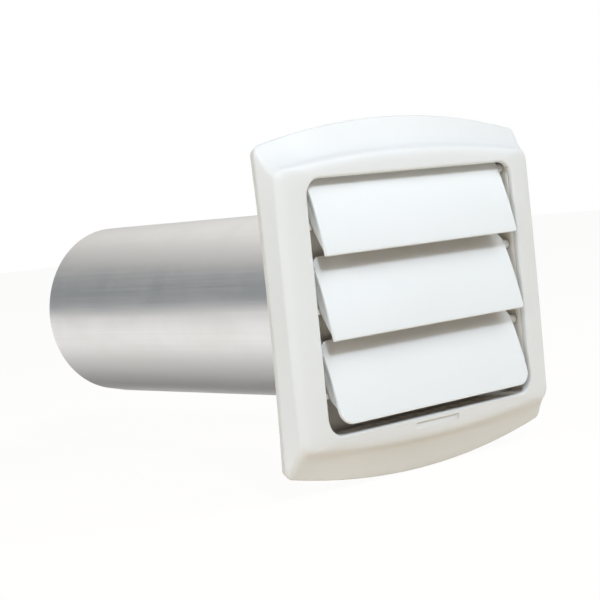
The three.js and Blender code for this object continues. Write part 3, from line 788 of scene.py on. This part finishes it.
fit_in(cover_piece(), "hood", "cover_plastic", COVER_WHITE, "cover_frame")
fit_in(finer_copy("base_plate", "back_plate", 0.3), "hood", "plate_plastic", PLATE_WHITE, "base_plate")
fit_in(
    finer_copy("louvre_carrier", "inner_carrier", 0.25),
    "hood", "carrier_plastic", CARRIER_WHITE, "louvre_carrier",
)
for row, name in enumerate(LOUVRES):
    fit_in(louvre_piece(row), name, "louvre_plastic", LOUVRE_WHITE, name)
fit_in(pipe_piece(), "hood", "pipe_aluminium", PIPE_METAL, "tail_pipe")
for number in (1, 2, 3):
    node = f"collar_rivet_{number}"
    fit_in(finer_copy(node, f"rivet_{number}", 0), "hood", "rivet_aluminium", RIVET_METAL, node)
for number in (1, 2, 3, 4):
    node = f"carrier_screw_{number}"
    fit_in(finer_copy(node, f"screw_{number}", 0), "hood", "screw_steel", SCREW_METAL, node)

# ---------------------------------------------------------------- floor, light and camera
FLOOR_REACH = 4.0
FLOOR_GAP = 0.0005  # metres under the lowest point of the part
# height of the direction, from straight down to straight up, and the light that comes from there
ROOM_FILL = [
    (0.0, (0.06, 0.04, 0.025)),
    (0.58, (0.03, 0.018, 0.010)),
    (0.76, (0.20, 0.20, 0.195)),
    (1.0, (0.22, 0.23, 0.24)),
]
# the same from eye level up, as bare metal shows it
METAL_BANDS = [
    (0.0, (0.44, 0.45, 0.455)),
    (0.12, (0.26, 0.28, 0.297)),
    (0.34, (0.222, 0.245, 0.264)),
    (0.53, (0.40, 0.405, 0.41)),
    (0.67, (0.80, 0.785, 0.765)),
    (0.78, (1.0, 0.985, 0.965)),
    (1.0, (0.92, 0.91, 0.90)),
]
WHITE = (1, 1, 1, 1)
FLOOR_TINT = (0.94, 0.81, 0.65, 1)
FLOOR_WHITE = 0.93  # share of plain white that the lens and shiny metal see
FLOOR_SEEN = 1.02  # level of that white for the lens
# level of that white for metal: a painted shadow, dim right under the pipe and full this far to its
# side, in metres
PAINTED_SHADOW_UNDER_PIPE, OPEN_FLOOR, OPEN_FROM = 0.19, 1.04, 0.115


def floor_piece():
    body = bmesh.new()
    bmesh.ops.create_grid(body, x_segments=24, y_segments=24, size=FLOOR_REACH)
    mesh = bpy.data.meshes.new("floor")
    body.to_mesh(mesh)
    body.free()
    obj = bpy.data.objects.new("floor", mesh)
    obj.location.z = cad_box[0][2] - FLOOR_GAP
    bpy.context.scene.collection.objects.link(obj)
    material, tree, shader = new_material("pale_floor")
    place = wire(tree, "ShaderNodeTexCoord").outputs["Object"]
    tone = wire(tree, "ShaderNodeTexNoise", {"Vector": place, "Scale": 3.0, "Detail": 3.0}).outputs[0]
    paler = tuple(c * 1.03 for c in FLOOR_TINT[:3]) + (1,)
    tree.links.new(blended(tree, tone, FLOOR_TINT, paler), shader.inputs["Base Color"])
    shader.inputs["Roughness"].default_value = 0.9
    shader.inputs["Specular IOR Level"].default_value = 0.1
    rays = wire(tree, "ShaderNodeLightPath").outputs
    aside = maths(tree, "ABSOLUTE", wire(tree, "ShaderNodeSeparateXYZ", {0: place}).outputs[0])
    # painted shadow: the white floor that the metal reflects is dimmed under the pipe, which darkens
    # the pipe's underside
    floor_white_with_painted_shadow = between_values(tree, aside, 0.0, OPEN_FROM, PAINTED_SHADOW_UNDER_PIPE, OPEN_FLOOR)
    in_metal = maths(tree, "MULTIPLY", rays["Is Glossy Ray"], floor_white_with_painted_shadow)
    in_lens = maths(tree, "MULTIPLY", rays["Is Camera Ray"], FLOOR_SEEN)
    level = maths(tree, "ADD", in_metal, in_lens)
    white = wire(tree, "ShaderNodeEmission", {"Color": WHITE, "Strength": level}).outputs[0]
    seen = maths(tree, "MAXIMUM", rays["Is Camera Ray"], rays["Is Glossy Ray"])
    share = maths(tree, "MULTIPLY", seen, FLOOR_WHITE)
    mixed = wire(tree, "ShaderNodeMixShader", {0: share, 1: shader.outputs[0], 2: white}).outputs[0]
    tree.links.new(mixed, tree.nodes["Material Output"].inputs["Surface"])
    mesh.materials.append(material)


def colour_ramp(tree, value, stops):
    ramp = wire(tree, "ShaderNodeValToRGB", {0: value})
    band = ramp.color_ramp
    while len(band.elements) < len(stops):
        band.elements.new(0.5)
    for element, (position, _) in zip(band.elements, stops):
        element.position = position
    for element, (_, colour) in zip(band.elements, stops):
        element.color = (*colour, 1)
    return ramp.outputs[0]


def studio_air():
    """White behind the object, a warm soft room as its fill, and a banded studio in its metal."""
    world = bpy.data.worlds.new("studio_air")
    bpy.context.scene.world = world
    world.use_nodes = True
    tree = world.node_tree
    tree.nodes.clear()
    way = wire(tree, "ShaderNodeTexCoord").outputs["Generated"]
    parts = wire(tree, "ShaderNodeSeparateXYZ", {0: way}).outputs
    halfway = maths(tree, "ADD", maths(tree, "MULTIPLY", parts[2], 0.5), 0.5)
    fill = colour_ramp(tree, halfway, ROOM_FILL)
    aside = maths(tree, "MULTIPLY", maths(tree, "MAXIMUM", parts[0], 0.0), 0.6)
    banded = colour_ramp(tree, maths(tree, "ADD", parts[2], aside), METAL_BANDS)
    rays = wire(tree, "ShaderNodeLightPath").outputs
    room = wire(tree, "ShaderNodeBackground", {0: fill, 1: 1.0}).outputs[0]
    studio = wire(tree, "ShaderNodeBackground", {0: banded, 1: 1.0}).outputs[0]
    white = wire(tree, "ShaderNodeBackground", {0: WHITE, 1: 1.0}).outputs[0]
    lit = wire(tree, "ShaderNodeMixShader", {0: rays["Is Glossy Ray"], 1: room, 2: studio}).outputs[0]
    mixed = wire(tree, "ShaderNodeMixShader", {0: rays["Is Camera Ray"], 1: lit, 2: white}).outputs[0]
    tree.links.new(mixed, wire(tree, "ShaderNodeOutputWorld").inputs[0])


def softbox(name, toward, distance, size, strength, colour):
    """A square lamp that lights the object with a given level, wherever it stands."""
    light = bpy.data.lights.new(name, "AREA")
    light.shape, light.size = "SQUARE", size
    light.energy = strength * math.pi * distance**2 * math.pi
    light.color = colour
    lamp = bpy.data.objects.new(name, light)
    way = Vector(toward).normalized()
    lamp.location = way * distance
    lamp.rotation_euler = way.to_track_quat("Z", "Y").to_euler()
    bpy.context.scene.collection.objects.link(lamp)


# name, direction it stands in, distance, side, level, colour
LAMPS = [
    ("key_lamp", (-5.2, -10, 8.7), 2.0, 0.22, 0.375, (0.92, 1.0, 1.10)),
    ("front_lamp", (0.85, -0.95, 1.15), 2.2, 1.3, 0.45, (0.97, 1.0, 1.04)),
    ("side_lamp", (-1.0, -0.15, 0.40), 2.2, 1.2, 0.40, (0.97, 1.0, 1.04)),
]

CAMERA_PLACE = (-0.5948, -0.5877, 0.0576)
CAMERA_TURN = -41.72  # degrees about Z, from looking along +Y
CAMERA_DIP = 3.575
CAMERA_TILT = -5.747
CAMERA_LENS = 96.79


def camera():
    data = bpy.data.cameras.new("lens")
    data.lens, data.sensor_width = CAMERA_LENS, 36
    data.clip_start, data.clip_end = 0.02, 50
    obj = bpy.data.objects.new("lens", data)
    turn, dip, tilt = (math.radians(a) for a in (CAMERA_TURN, CAMERA_DIP, CAMERA_TILT))
    right = Vector((math.cos(turn), math.sin(turn), 0))
    ahead = Vector((-math.sin(turn), math.cos(turn), 0))
    up = Vector((0, 0, 1))
    forward = ahead * math.cos(dip) - up * math.sin(dip)
    above = up * math.cos(dip) + ahead * math.sin(dip)
    x = right * math.cos(tilt) + above * math.sin(tilt)
    y = above * math.cos(tilt) - right * math.sin(tilt)
    pose = Matrix((x, y, -forward)).transposed().to_4x4()
    pose.translation = Vector(CAMERA_PLACE)
    obj.matrix_world = pose
    bpy.context.scene.collection.objects.link(obj)
    bpy.context.scene.camera = obj


floor_piece()
studio_air()
for lamp in LAMPS:
    softbox(*lamp)
camera()
bpy.context.scene.view_settings.view_transform = "Standard"
